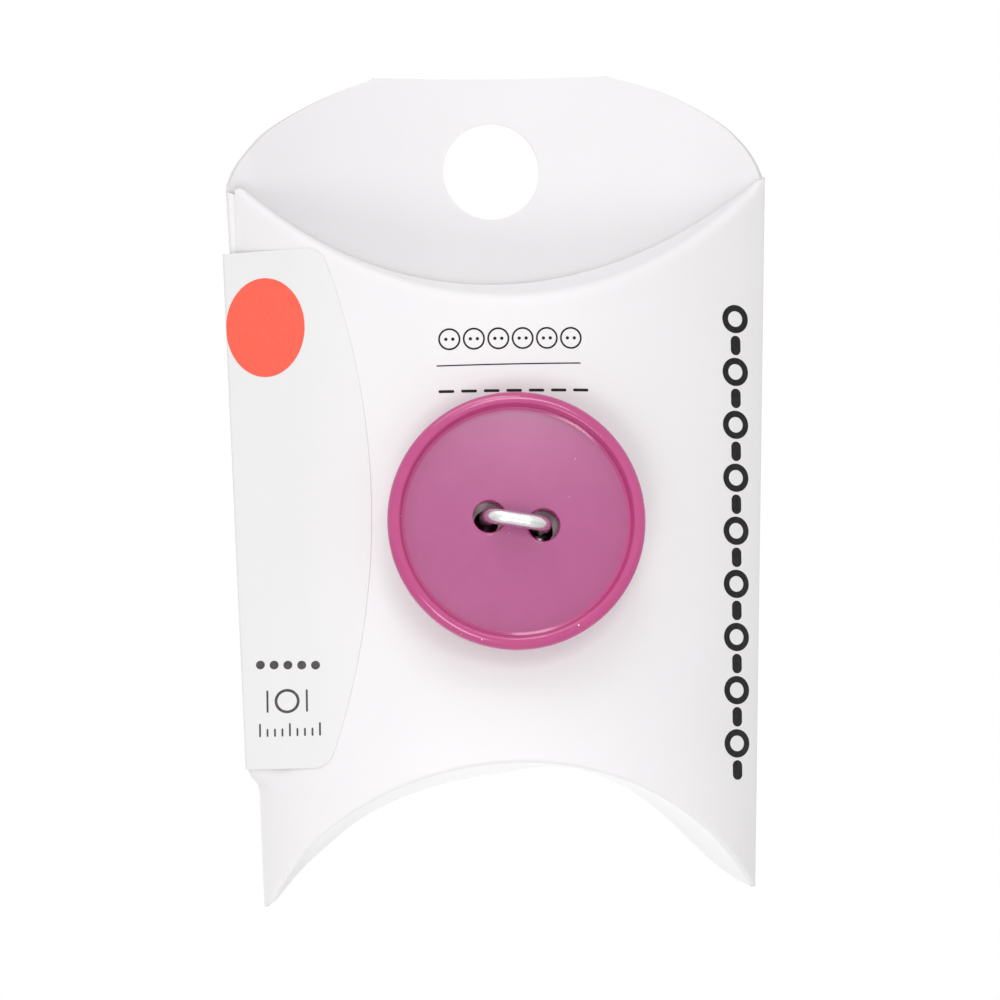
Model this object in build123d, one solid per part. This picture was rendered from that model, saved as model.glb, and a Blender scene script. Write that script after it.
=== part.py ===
"""Pillow pack of buttons: a folded paperboard carton with a hang tab, one button tied to its front,
a label wrapped round its glued side and four spare buttons inside.

Millimetres. +Z is up as the pack hangs and the front looks along -Y. The origin is the centre of
the hang hole, halfway through the board.
"""
import os
from math import acos, atan2, cos, radians, sin, sqrt, tan

from build123d import *

# Carton: two panels bow apart between two side creases, and curved creases close the ends
board = 0.4
top_half_width = 21.3
bottom_half_width = 19.4
top_bulge = 8.7
bottom_bulge = 10.5
corner_height = 56.5
top_crease_rise = 10.25
bottom_crease_rise = 10.45
flap_gap = 0.1
flap_corner_relief = 0.6
inner_flap_lift = 0.9
inner_flap_tilt = 5.0

# Hang tab: the back panel's top flap, left standing
tab_rise = 10.45
tab_side_height = 1.8
tab_corner_radius = 8.5
tab_flat_height = 9.05
tab_flat_half_width = 9.5
hole_radius = 3.9
hole_above_corners = 1.55

# Glued side: a tab folded behind the front panel, whose raw edge stops short of the crease
glue_tab_width = 9.0
glue_tab_relief = 1.0
seam_inset = 0.5
seam_gap = 0.3
seam_depth = 0.25

# Button: a turned disc with a raised rim round a sunk face and two sewing holes
button_radius = 10.0
button_height = 3.1
rim_width = 1.25
rim_depth = 0.75
foot_inset = 2.2
widest_height = 1.7
rim_outer_share = 0.6
rim_inner_share = 0.35
sewing_hole_radius = 1.22
sewing_hole_spacing = 4.3
sewing_hole_chamfer = 0.2
button_turn = 9.6
button_above_middle = 0.4

# Tie wire: one loop through the button and the board, its ends bent flat inside
wire_radius = 0.6
wire_crown_radius = 1.25
wire_foot_radius = 0.9
wire_foot_length = 5.0
wire_foot_gap = 0.2
card_hole_clearance = 0.15

# Label: a paper sheet stuck round the glued side, its fold standing a little proud
label_sheet = 0.12
label_glue = 0.02
label_top_drop = 5.75
label_height = 40.8
label_reach = 10.95
label_edge_radius = 60.0
label_corner_radius = 3.6
fold_proud_top = 0.9
fold_proud_bottom = 1.05

# Spare buttons: four on edge, nested in one pile that has rolled against the glued side
spare_count = 4
spare_clearance = 0.15
floor_shares = [step / 20 for step in range(-20, 21)]

overrun = 2.0

# Faces and feet of the buttons
face_radius = button_radius - rim_width
face_height = button_height - rim_depth
foot_radius = button_radius - foot_inset

# The wire's legs pass down the middle of the sewing holes
wire_leg_x = sewing_hole_spacing / 2

# Levels of the side corners, the label and the tied button, and the rise of the inner flap's crease
top_level = -hole_above_corners
bottom_level = top_level - corner_height
middle_level = (top_level + bottom_level) / 2
shell_top = top_level + tab_rise + overrun
shell_bottom = bottom_level - overrun
label_top = top_level - label_top_drop
label_bottom = label_top - label_height
button_level = middle_level + button_above_middle
back_crease_rise = bottom_crease_rise + inner_flap_lift


def between(bottom_value, top_value, level):
    """A size that changes evenly from the bottom corners to the top corners."""
    return bottom_value + (top_value - bottom_value) * (level - bottom_level) / corner_height


def half_width_at(level):
    return between(bottom_half_width, top_half_width, level)


def bulge_at(level):
    return between(bottom_bulge, top_bulge, level)


def radius_at(level):
    """Radius of a panel's outer face in a level section."""
    return (half_width_at(level) ** 2 + bulge_at(level) ** 2) / (2 * bulge_at(level))


# Plane of the side creases, behind which the hang hole lies in the middle of the board
crease_y = board / 2 - bulge_at(0)
depth = 2 * max(top_bulge, bottom_bulge) + overrun
whole_height = shell_top - shell_bottom
whole_width = 2 * max(top_half_width, bottom_half_width) + overrun


def lens(level, front_inset=0, back_inset=0):
    """Level section between the panels, each set in from its outer face."""
    radius = radius_at(level)
    centre = radius - bulge_at(level)
    front_radius = radius - front_inset
    back_radius = radius - back_inset
    corner_y = (back_radius ** 2 - front_radius ** 2) / (4 * centre)
    corner_x = sqrt(front_radius ** 2 - (corner_y - centre) ** 2)
    left = (-corner_x, crease_y + corner_y)
    right = (corner_x, crease_y + corner_y)
    front = ThreePointArc(left, (0, crease_y + centre - front_radius), right)
    back = ThreePointArc(right, (0, crease_y + back_radius - centre), left)
    return Plane.XY.offset(level) * make_face([front, back])


def lens_block(front_inset=0, back_inset=0):
    """Block between the panels, with straight lines from bottom to top."""
    sections = [lens(level, front_inset, back_inset) for level in (shell_bottom, shell_top)]
    return loft(sections, ruled=True)


def slab(inset):
    """Upright block whose sides follow the side creases, set in by the given length."""
    sections = []
    for level in (shell_bottom, shell_top):
        outline = Rectangle(2 * (half_width_at(level) - inset), depth)
        sections.append(Plane.XY.offset(level) * Pos(0, crease_y) * outline)
    return loft(sections, ruled=True)


def left_of(x):
    """Block of everything to the left of a place."""
    return Pos(x - whole_width / 2, crease_y, middle_level) * Box(whole_width, depth, 2 * whole_height)


def crease_plane(level, side, rise):
    """Plane of a curved crease, through both side corners and the crease's middle."""
    bulge = bulge_at(level + rise)
    outward = bulge if rise < 0 else -bulge
    return Plane(origin=(0, crease_y, level), x_dir=(1, 0, 0), z_dir=(0, side * abs(rise), outward))


def fold_direction(plane):
    """Way a flap runs in from its crease: the panel's upright mirrored in the crease plane."""
    upright = Vector(0, 0, 1) if plane.z_dir.Z > 0 else Vector(0, 0, -1)
    return upright - plane.z_dir * (2 * upright.dot(plane.z_dir))


def flap(panel, plane, direction, room):
    """Flap bent in at a curved crease, as far as the room inside lets it reach."""
    crease = section(panel, section_by=plane)
    sheet = extrude(crease, amount=2 * depth, dir=direction)
    return sheet & room & slab(flap_corner_relief)


def back_outline():
    """Outline of the back panel: straight below, and the hang tab with its cut top."""
    low = top_level - tab_rise
    side = top_level + tab_side_height
    flat = top_level + tab_flat_height
    arch = make_face([
        Polyline(
            (-top_half_width, side), (-top_half_width, low),
            (top_half_width, low), (top_half_width, side)),
        ThreePointArc((-top_half_width, side), (0, top_level + tab_rise), (top_half_width, side)),
    ])
    arch = fillet(arch.vertices().group_by(Axis.Y)[-1], tab_corner_radius)
    below_flat = Pos(0, (flat + low) / 2) * Rectangle(whole_width, flat - low)
    shoulder = tab_flat_half_width + tab_flat_height - tab_side_height
    crown = make_face(Polyline(
        (-tab_flat_half_width, flat), (tab_flat_half_width, flat), (shoulder, side), (-shoulder, side),
        close=True))
    panel = Pos(0, top_level - whole_height / 2) * Rectangle(whole_width, whole_height)
    return (arch & below_flat) + crown + panel


def through(outline):
    """An outline seen from the front, carried through the whole depth."""
    return extrude(Plane.XZ.offset(-crease_y) * outline, amount=depth, both=True)


def make_carton(button_place):
    outer = lens_block()
    shell = outer - lens_block(board, board)
    middle = Plane(origin=(0, crease_y, 0), x_dir=(1, 0, 0), z_dir=(0, -1, 0))
    front = split(shell, bisect_by=middle, keep=Keep.TOP)
    back = split(shell, bisect_by=middle, keep=Keep.BOTTOM)
    top_crease = crease_plane(top_level, -1, -top_crease_rise)
    front_crease = crease_plane(bottom_level, -1, bottom_crease_rise)
    back_crease = crease_plane(bottom_level, 1, back_crease_rise)

    # Flaps: the front's at the top, tucked in, and at the bottom the back's inside the front's
    room_behind = lens_block(-overrun, board + flap_gap)
    room_before = lens_block(board + flap_gap, -overrun)
    tucked_flap = flap(front, top_crease, fold_direction(top_crease), room_behind)
    outer_flap = flap(front, front_crease, fold_direction(front_crease), room_behind)
    inner_way = Vector(0, -cos(radians(inner_flap_tilt)), sin(radians(inner_flap_tilt)))
    inner_flap = flap(back, back_crease, inner_way, room_before)

    # Panels between their creases
    front_panel = split(front, bisect_by=top_crease, keep=Keep.BOTTOM)
    front_panel = split(front_panel, bisect_by=front_crease, keep=Keep.BOTTOM)
    back_panel = split(back, bisect_by=back_crease, keep=Keep.BOTTOM) & through(back_outline())

    # Glue tab behind the left of the front panel, clear of the flaps
    glue_tab = lens_block(board, board) - lens_block(2 * board, board)
    glue_tab = split(glue_tab, bisect_by=middle, keep=Keep.TOP)
    glue_tab &= left_of(glue_tab_width - half_width_at(middle_level))
    glue_tab = split(glue_tab, bisect_by=top_crease.offset(-glue_tab_relief), keep=Keep.BOTTOM)
    glue_tab = split(glue_tab, bisect_by=front_crease.offset(-glue_tab_relief), keep=Keep.BOTTOM)
    carton = front_panel + back_panel + tucked_flap + outer_flap + inner_flap + glue_tab

    # Gap between the front panel's raw edge and the left crease
    groove = slab(seam_inset) - slab(seam_inset + seam_gap)
    groove &= outer - lens_block(seam_depth, seam_depth)
    carton -= split(groove & left_of(0), bisect_by=middle, keep=Keep.TOP)

    # Hang hole, and the two holes for the tie wire
    carton -= Rot(90, 0, 0) * Cylinder(hole_radius, 2 * overrun)
    for side in (-1, 1):
        place = button_place * Pos(side * wire_leg_x, 0, 0)
        carton -= place * Cylinder(wire_radius + card_hole_clearance, 2 * overrun)
    return carton


def make_button():
    """One button, its back at the origin and its face along +Z."""
    round_size = rim_outer_share * min(rim_width, button_height - widest_height)
    bevel_size = rim_inner_share * min(rim_width, rim_depth)
    profile = make_face(Polyline(
        (0, 0), (foot_radius, 0), (button_radius, widest_height), (button_radius, button_height),
        (face_radius + bevel_size, button_height), (face_radius, button_height - bevel_size),
        (face_radius, face_height), (0, face_height), close=True))
    shoulder = profile.vertices().sort_by_distance((button_radius, button_height, 0))[0]
    profile = fillet(shoulder, round_size)
    button = revolve(Plane.XZ * profile, axis=Axis.Z)
    for side in (-1, 1):
        place = Pos(side * sewing_hole_spacing / 2, 0, 0)
        button -= place * Cylinder(sewing_hole_radius, 2 * button_height)
        flare = Cone(sewing_hole_radius, sewing_hole_radius + sewing_hole_chamfer, sewing_hole_chamfer)
        button -= place * Pos(0, 0, face_height - sewing_hole_chamfer / 2) * flare
    return button


def make_wire():
    """The tie wire in the button's own place: an arch over the bridge, and feet behind the board."""
    foot_z = -board - wire_radius - wire_foot_gap
    crown_z = face_height + wire_crown_radius
    path = FilletPolyline(
        (-wire_leg_x, wire_foot_length, foot_z), (-wire_leg_x, 0, foot_z), (-wire_leg_x, 0, crown_z),
        (wire_leg_x, 0, crown_z), (wire_leg_x, 0, foot_z), (wire_leg_x, -wire_foot_length, foot_z),
        radius=[wire_foot_radius, wire_crown_radius, wire_crown_radius, wire_foot_radius])
    start = Plane(origin=path @ 0, z_dir=path % 0)
    return sweep(start * Circle(wire_radius), path=path)


def fold_section(level, offset):
    """Level section of the label's loose fold: lines that leave the panels and meet past the crease."""
    radius = radius_at(level)
    centre = radius - bulge_at(level)
    share = (level - label_bottom) / label_height
    reach = half_width_at(level) + fold_proud_bottom + (fold_proud_top - fold_proud_bottom) * share
    lean = atan2(centre, reach) + acos(radius / sqrt(reach ** 2 + centre ** 2))
    touch_x = -(radius + offset) * cos(lean)
    touch_y = (radius + offset) * sin(lean) - centre
    tip_x = -reach - offset / cos(lean)
    outline = Polyline(
        (touch_x, crease_y - touch_y), (tip_x, crease_y), (touch_x, crease_y + touch_y), close=True)
    return Plane.XY.offset(level) * make_face(outline)


def make_label():
    """The label: a skin over both panels, from its rounded edge to the fold past the left crease."""
    def hull(offset):
        levels = (label_bottom - overrun, label_top + overrun)
        fold = loft([fold_section(level, offset) for level in levels], ruled=True)
        return lens_block(-offset, -offset) + fold

    middle = (label_top + label_bottom) / 2
    half = label_height / 2
    end_x = -label_reach - label_edge_radius + sqrt(label_edge_radius ** 2 - half ** 2)
    outline = make_face([
        Polyline(
            (end_x, label_bottom), (-whole_width, label_bottom),
            (-whole_width, label_top), (end_x, label_top)),
        ThreePointArc((end_x, label_top), (-label_reach, middle), (end_x, label_bottom)),
    ])
    outline = fillet(outline.vertices().group_by(Axis.X)[-1], label_corner_radius)
    return (hull(label_glue + label_sheet) - hull(label_glue)) & through(outline)


def flap_height(x, y):
    """Height of the inner bottom flap's upper face, with y from the crease plane."""
    level = bottom_level + back_crease_rise
    radius = radius_at(level)
    wall = sqrt(radius ** 2 - x ** 2) - radius + bulge_at(level)
    crease = bottom_level + back_crease_rise * wall / bulge_at(level)
    return crease + tan(radians(inner_flap_tilt)) * (wall - y)


def make_spares(button):
    """Four loose buttons on edge, nested foot in face, rolled left until their rims meet the panels."""
    nest_depth = max(0, face_radius - foot_radius) * widest_height / foot_inset
    pitch = max(face_height, button_height - nest_depth) + spare_clearance
    pile_half = ((spare_count - 1) * pitch + button_height) / 2
    level = bottom_level + back_crease_rise + button_radius
    radius = radius_at(level)
    wall_x = sqrt((radius - 2 * board) ** 2 - (radius - bulge_at(level) + pile_half) ** 2)
    pile_x = button_radius + spare_clearance - wall_x
    spares = []
    for number in range(spare_count):
        front = number * pitch - pile_half
        rest = max(
            flap_height(pile_x + share * button_radius, front) + button_radius * sqrt(1 - share ** 2)
            for share in floor_shares)
        place = (pile_x, crease_y + front + button_height, rest + spare_clearance)
        spares.append(Plane(origin=place, x_dir=(1, 0, 0), z_dir=(0, -1, 0)) * button)
    return spares


# Place of the tied button: its back along the front panel's middle line, turned a little
panel_lean = (bottom_bulge - top_bulge) / corner_height
panel_seat = Plane(
    origin=(0, crease_y - bulge_at(button_level), button_level), x_dir=(1, 0, 0), z_dir=(0, -1, panel_lean))
button_place = panel_seat.location * Rot(0, 0, -button_turn)

button = make_button()
parts = {
    "carton": make_carton(button_place),
    "display_button": button_place * button,
    "tie_wire": button_place * make_wire(),
    "label": make_label(),
}
for number, spare in enumerate(make_spares(button), start=1):
    parts[f"spare_button_{number}"] = spare

os.makedirs("parts", exist_ok=True)
for name, shape in parts.items():
    export_step(shape, f"parts/{name}.step")
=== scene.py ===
"""Pillow pack of buttons: the dressed model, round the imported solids, in the same frame and in metres.

Sizes are in millimetres until a mesh is made. Places on the pack are given as x to the right, t out of
the front from the plane of the side creases, and z up.
"""
import math

import bmesh
import bpy
import numpy as np
from mathutils import Matrix, Vector


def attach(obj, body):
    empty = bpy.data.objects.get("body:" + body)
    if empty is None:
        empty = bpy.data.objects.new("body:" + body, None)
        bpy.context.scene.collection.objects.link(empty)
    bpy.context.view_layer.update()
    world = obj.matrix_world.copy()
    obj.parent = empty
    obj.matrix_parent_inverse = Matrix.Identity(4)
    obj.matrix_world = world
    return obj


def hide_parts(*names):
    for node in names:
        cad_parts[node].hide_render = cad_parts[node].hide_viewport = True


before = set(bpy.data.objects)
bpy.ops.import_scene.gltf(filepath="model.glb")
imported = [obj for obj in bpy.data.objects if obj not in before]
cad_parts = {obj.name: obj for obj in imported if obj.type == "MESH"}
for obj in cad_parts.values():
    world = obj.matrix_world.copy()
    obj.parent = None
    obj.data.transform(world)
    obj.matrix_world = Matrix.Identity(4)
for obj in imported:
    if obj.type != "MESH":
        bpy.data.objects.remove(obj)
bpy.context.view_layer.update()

MILLIMETRE = 0.001

# Carton
BOARD = 0.4
TOP_HALF_WIDTH = 21.3
BOTTOM_HALF_WIDTH = 19.4
TOP_BULGE = 8.7
BOTTOM_BULGE = 10.5
CORNER_HEIGHT = 56.5
TOP = -1.55
BOTTOM = TOP - CORNER_HEIGHT
TOP_CREASE_DROP = -10.25
BOTTOM_CREASE_RISE = 10.45
BACK_CREASE_RISE = 11.35
FOLD = 0.25
CREASE_TRIM = 0.2
TOP_CREASE_TRIM = 0.85
FLAP_CLEARANCE = 0.4
INNER_FLAP_TILT = 5.0
OUTER_FLAP_BLEND = (-2, -1, 0, 1, 2)
OUTER_FLAP_PLACES = (-19.0, -16.3, -13.0, -7.0, 0.0, 3.0, 5.0, 9.0, 12.0, 14.0, 16.5, 19.0)
OUTER_FLAP_SLOPES = (-0.25, -0.2, -0.09, -0.06, -0.04, 0.0, 0.018, 0.022, 0.0, -0.07, -0.19, -0.4)
RAW_EDGE_INSET_TOP = 0.38
RAW_EDGE_INSET_BOTTOM = 0.02
SHOULDER_DROP = 0.65
SHOULDER_LEVEL = TOP - SHOULDER_DROP
SEAM_SINK_BOTTOM = 0.4
SEAM_SINK_TOP = -0.47
SEAM_REACH_BOTTOM = 4.0
SEAM_REACH_TOP = 2.0
TIP_DROP = 0.85
HIDDEN_TIP_DROP = 0.45
TIP_START_SHARE = 0.75
FLARE = 0.9
FLARE_REACH = 2.0
FLARE_HEIGHT = 1.4
FLARE_FADE = 9.0
GLUE_TAB_WIDTH = 9.0
GLUE_TAB_RELIEF = 1.0
GLUE_TAB_RELIEF_RUN = 2.0
GLUE_TAB_GAP = 0.06
GLUE_TAB_STEP = 0.3
WARP_HEIGHT = 0.05
FINE_WARP_HEIGHT = 0.03
WARP_FADE_DEPTH = 4.0
HANG_BORE_REACH = 3.0
WIRE_BORE_REACH = 2.0

# Hang tab
TAB_RISE = 10.45
TAB_SIDE_HEIGHT = 1.8
TAB_CORNER_RADIUS = 8.5
TAB_FLAT_HEIGHT = 9.05
TAB_FLAT_HALF_WIDTH = 9.5
TAB_RIGHT_LIFT = 0.3
TAB_LIFT_SPAN = 10.0
TAB_SEARCH_MARGIN = 2.0
HANG_HOLE_RADIUS = 3.9

# Button and wire
BUTTON_RADIUS = 10.0
BUTTON_HEIGHT = 3.1
FOOT_RADIUS = 7.8
FOOT_ROUND = 0.25
WIDEST_HEIGHT = 1.7
WIDEST_ROUND = 0.5
RIM_OUTER_ROUND = 0.62
RIM_INNER_ROUND = 0.2
FACE_RADIUS = 8.75
FACE_EDGE_HEIGHT = 2.1
FACE_DOME = 0.34
RIM_WALL_LEAN = 0.34
RIM_FACET = 0.11
RIM_FACET_HEIGHT = 0.088
FACET_OUTER_ROUND = 0.03
FACET_INNER_ROUND = 0.06
# Reach of the face copy of the plastic; the rim keeps a redder copy whose extra red is painted glow of
# bounced light.
FACE_COLOUR_INSET = 0.15
FACE_COLOUR_DEPTH = 0.05
FACE_COLOUR_UPRIGHT = 0.9
FACE_SHARES = (0.95, 0.9, 0.8, 0.7, 0.6, 0.5, 0.4, 0.3, 0.2, 0.1, 0)
SEWING_HOLE_RADIUS = 1.22
SEWING_HOLE_FLARE = 0.22
SEWING_CUT_MARGIN = 0.3
SEWING_CUT_STEP = 0.05
SEWING_CUT_BELOW = 1.0
SEWING_CUT_ABOVE = 5.0
SEWING_HOLE_SPACING = 4.3
BUTTON_TURN = 9.6
BUTTON_ABOVE_MIDDLE = 0.4
WIRE_HOLE_RADIUS = 0.95
WIRE_HOLE_DROP = 0.3
WIRE_LEG_X = 2.15

# Label
LABEL_SHEET = 0.08
LABEL_GLUE = 0.02
LABEL_TOP_DROP = 5.75
LABEL_TOP = TOP - LABEL_TOP_DROP
LABEL_HEIGHT = 40.8
LABEL_BOTTOM = LABEL_TOP - LABEL_HEIGHT
LABEL_REACH = 10.95
LABEL_EDGE_RADIUS = 60.0
LABEL_CORNER_RADIUS = 1.7
LABEL_PROUD_TOP = 0.9
LABEL_PROUD_BOTTOM = 1.05
LABEL_FOLD_ROUND = 0.35
LABEL_LOOK_AHEAD = 0.05
DOT_HALF_WIDTH = 3.7
DOT_HALF_HEIGHT = 3.9
DOT_LEVEL = -13.35
DOT_RIGHT_X = -15.8

# Ink of the dot and of both prints
INK = 0.012
STROKE_STEP = 0.5

# Print on the front: a row of small buttons, a rule, a row of dashes and an upright chain
ROW_COUNT = 6
ROW_LEFT_X = -4.75
ROW_PITCH = 1.9
ROW_LEVEL = -14.95
ROW_OUTER_RADIUS = 0.86
ROW_INNER_RADIUS = 0.72
ROW_HOLE_X = 0.27
ROW_HOLE_RADIUS = 0.13
RULE_START = (-5.73, -17.02)
RULE_END = (5.44, -16.92)
RULE_WIDTH = 0.1
DASH_COUNT = 7
DASH_LEFT_X = -5.55
DASH_PITCH = 1.75
DASH_LENGTH = 1.0
DASH_LEVEL = -19.03
DASH_FALL = 0.01
DASH_WIDTH = 0.22
CHAIN_COUNT = 9
CHAIN_TOP_X = 18.41
CHAIN_TOP_LEVEL = -12.37
CHAIN_LEAN = 0.0148
CHAIN_FIRST_LEVEL = -13.1
CHAIN_PITCH = 4.2
CHAIN_OUTER_RADIUS = 1.12
CHAIN_INNER_RADIUS = 0.62
CHAIN_BAR_TOP = 1.75
CHAIN_BAR_BOTTOM = 2.45
CHAIN_BAR_WIDTH = 0.85

# Print on the label: a row of dots, a ring in a gauge and a small scale
DOTS_COUNT = 5
DOTS_LEFT_X = -19.6
DOTS_LEVEL = -39.9
DOTS_PITCH = 1.05
DOTS_FALL = 0.04
DOTS_RADIUS = 0.34
GAUGE_X = -17.6
GAUGE_LEVEL = -42.8
GAUGE_OUTER_RADIUS = 0.95
GAUGE_INNER_RADIUS = 0.74
GAUGE_HALF_WIDTH = 1.5
GAUGE_HALF_HEIGHT = 0.8
GAUGE_WIDTH = 0.15
SCALE_COUNT = 9
SCALE_LEFT_X = -19.7
SCALE_LEVEL = -45.5
SCALE_PITCH = 0.57
SCALE_LONG_EVERY = 4
SCALE_LONG = 0.9
SCALE_SHORT = 0.5
SCALE_WIDTH = 0.14

# Mesh
SOLVE_ROUNDS = 60
FLAP_ROUNDS = 40
WELD_DISTANCE = 0.004
LABEL_WELD_DISTANCE = 0.001
SHEET_SHARP_ANGLE = 38
BUTTON_SHARP_ANGLE = 32
INK_SHARP_ANGLE = 60
BORE_STEPS = 96
BUTTON_STEPS = 180
SEWING_HOLE_STEPS = 64
SEWING_FLARE_ROWS = 7
ROUND_STEPS = 8
DOT_RINGS = 14
DOT_STEPS = 96


# Form of the pack

def between(bottom_value, top_value, level):
    return bottom_value + (top_value - bottom_value) * (level - BOTTOM) / CORNER_HEIGHT


def half_width(level):
    return between(BOTTOM_HALF_WIDTH, TOP_HALF_WIDTH, level)


def bulge(level):
    return between(BOTTOM_BULGE, TOP_BULGE, level)


CREASE_Y = BOARD / 2 - bulge(0.0)


def panel_arc(level):
    """Middle line of a panel at a level: its end, the depth of its centre, its radius and half angle."""
    end = half_width(level) - FOLD - BOARD / 2
    rise = bulge(level) - BOARD / 2 - FOLD
    centre = (end ** 2 - rise ** 2) / (2 * rise)
    radius = centre + bulge(level) - BOARD / 2
    return end, centre, radius, np.arctan2(end, centre)


def panel_point(share, level, offset=0.0):
    """Point of the front panel's middle line, with share from -1 at the left crease to 1 at the right."""
    end, centre, radius, half_angle = panel_arc(level)
    angle = share * half_angle
    return np.array([(radius + offset) * np.sin(angle), (radius + offset) * np.cos(angle) - centre, level])


def share_at(x, level):
    end, centre, radius, half_angle = panel_arc(level)
    return np.arcsin(np.clip(x / radius, -1, 1)) / half_angle


def front_depth(x, level):
    """Depth of the front panel's outer face at a place."""
    end, centre, radius, half_angle = panel_arc(level)
    return math.sqrt((radius + BOARD / 2) ** 2 - x ** 2) - centre


def crease_level(share_of, corner, rise):
    """Level at which a column of the panel meets the plane of a curved crease."""
    level = corner
    apex = bulge(corner + rise)
    for _ in range(SOLVE_ROUNDS):
        depth = panel_point(share_of(level), level)[1]
        level = corner + rise * max(depth, 0) / apex
    return level


def tab_top(x):
    """Level of the hang tab's cut edge, which stands a little higher on the right."""
    lift = TAB_RIGHT_LIFT * math.sin(math.pi * min(max((x - TAB_FLAT_HALF_WIDTH) / TAB_LIFT_SPAN, 0), 1))
    x = abs(x)
    arch_height = TAB_RISE - TAB_SIDE_HEIGHT
    arch_radius = (TOP_HALF_WIDTH ** 2 + arch_height ** 2) / (2 * arch_height)
    arch_centre = TOP + TAB_RISE - arch_radius
    round_x = TOP_HALF_WIDTH - TAB_CORNER_RADIUS
    round_z = arch_centre + math.sqrt((arch_radius - TAB_CORNER_RADIUS) ** 2 - round_x ** 2)
    if x > round_x * arch_radius / (arch_radius - TAB_CORNER_RADIUS):
        return lift + round_z + math.sqrt(max(TAB_CORNER_RADIUS ** 2 - (x - round_x) ** 2, 0))
    arch = lift + arch_centre + math.sqrt(arch_radius ** 2 - x ** 2)
    crown = TOP + TAB_FLAT_HEIGHT - max(0, x - TAB_FLAT_HALF_WIDTH)
    return max(min(arch, TOP + TAB_FLAT_HEIGHT), crown)


def tab_level(share):
    """Level at which a column of the back panel meets the cut edge of the tab."""
    low, high = TOP - TAB_SEARCH_MARGIN, TOP + TAB_RISE + TAB_SEARCH_MARGIN
    for _ in range(SOLVE_ROUNDS):
        middle = (low + high) / 2
        if tab_top(panel_point(share, middle)[0]) > middle:
            low = middle
        else:
            high = middle
    return low


def smooth_step(value):
    value = np.clip(value, 0, 1)
    return value * value * (3 - 2 * value)


def warp(points):
    """Slow unevenness of folded board, the same for everything that lies on it."""
    x, t, z = points[:, 0], points[:, 1], points[:, 2]
    wave = WARP_HEIGHT * np.sin(0.23 * x + 0.11 * z + 0.7) * np.sin(0.17 * z - 0.08 * x + 1.9)
    wave += FINE_WARP_HEIGHT * np.sin(0.41 * x - 0.19 * z + 2.3)
    side = np.clip(t / WARP_FADE_DEPTH, -1, 1)
    moved = points.copy()
    moved[:, 1] += wave * side
    return moved


# Mesh helpers

def to_world(points):
    """Places on the pack as Blender places: the front looks along -Y."""
    points = np.asarray(points, dtype=float)
    world = np.empty_like(points)
    world[:, 0] = points[:, 0]
    world[:, 1] = CREASE_Y - points[:, 1]
    world[:, 2] = points[:, 2]
    return world * MILLIMETRE


def new_object(name, points, faces, world=True):
    mesh = bpy.data.meshes.new(name)
    placed = to_world(points) if world else np.asarray(points) * MILLIMETRE
    mesh.from_pydata([tuple(p) for p in placed], [], faces)
    mesh.update()
    made = bpy.data.objects.new(name, mesh)
    bpy.context.scene.collection.objects.link(made)
    return made


def apply_modifiers(piece):
    graph = bpy.context.evaluated_depsgraph_get()
    mesh = bpy.data.meshes.new_from_object(piece.evaluated_get(graph))
    piece.modifiers.clear()
    piece.data = mesh


def weld(piece, distance):
    """Joins points that fell together and drops the faces that have no area left."""
    form = bmesh.new()
    form.from_mesh(piece.data)
    bmesh.ops.remove_doubles(form, verts=form.verts, dist=distance * MILLIMETRE)
    bmesh.ops.dissolve_degenerate(form, edges=form.edges, dist=distance * MILLIMETRE)
    bmesh.ops.recalc_face_normals(form, faces=form.faces)
    form.to_mesh(piece.data)
    form.free()


def thicken(piece, thickness, rim_slot):
    solid = piece.modifiers.new("thickness", "SOLIDIFY")
    solid.thickness = thickness * MILLIMETRE
    solid.offset = 0
    solid.material_offset_rim = rim_slot
    apply_modifiers(piece)


def cut(piece, cutter):
    boolean = piece.modifiers.new("cut", "BOOLEAN")
    boolean.operation = "DIFFERENCE"
    boolean.solver = "EXACT"
    boolean.object = cutter
    apply_modifiers(piece)
    bpy.data.objects.remove(cutter)


def smooth(piece, degrees):
    for polygon in piece.data.polygons:
        polygon.use_smooth = True
    piece.data.set_sharp_from_angle(angle=math.radians(degrees))


def grid_faces(columns, rows):
    faces = []
    for column in range(columns - 1):
        for row in range(rows - 1):
            first = column * rows + row
            faces.append((first, first + 1, first + rows + 1, first + rows))
    return faces


def lathe(name, profile, steps):
    """Closed body turned about its own upright axis from a profile that starts and ends on the axis."""
    points = [(0, 0, profile[0][1])]
    ring = profile[1:-1]
    for step in range(steps):
        angle = 2 * math.pi * step / steps
        points += [(r * math.cos(angle), r * math.sin(angle), h) for r, h in ring]
    points.append((0, 0, profile[-1][1]))
    faces = []
    count = len(ring)
    last = len(points) - 1
    for step in range(steps):
        here = 1 + step * count
        there = 1 + (step + 1) % steps * count
        faces.append((0, there, here))
        for row in range(count - 1):
            faces.append((here + row, there + row, there + row + 1, here + row + 1))
        faces.append((here + count - 1, there + count - 1, last))
    return new_object(name, points, faces, world=False)


def round_corner(before, corner, after, radius, steps):
    """Points of a round that takes the place of a corner in a profile."""
    corner = Vector(corner)
    to_before = (Vector(before) - corner).normalized()
    to_after = (Vector(after) - corner).normalized()
    half = to_before.angle(to_after) / 2
    reach = radius / math.tan(half)
    middle = corner + (to_before + to_after).normalized() * (radius / math.sin(half))
    start = corner + to_before * reach - middle
    end = corner + to_after * reach - middle
    span = start.angle(end)
    points = []
    for step in range(steps + 1):
        swing = span * step / steps
        arm = start * (math.sin(span - swing) / math.sin(span)) + end * (math.sin(swing) / math.sin(span))
        points.append(tuple(middle + arm))
    return points


# Materials

def new_material(name):
    made = bpy.data.materials.new(name)
    made.use_nodes = True
    shader = made.node_tree.nodes["Principled BSDF"]
    return made, made.node_tree, shader


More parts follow.
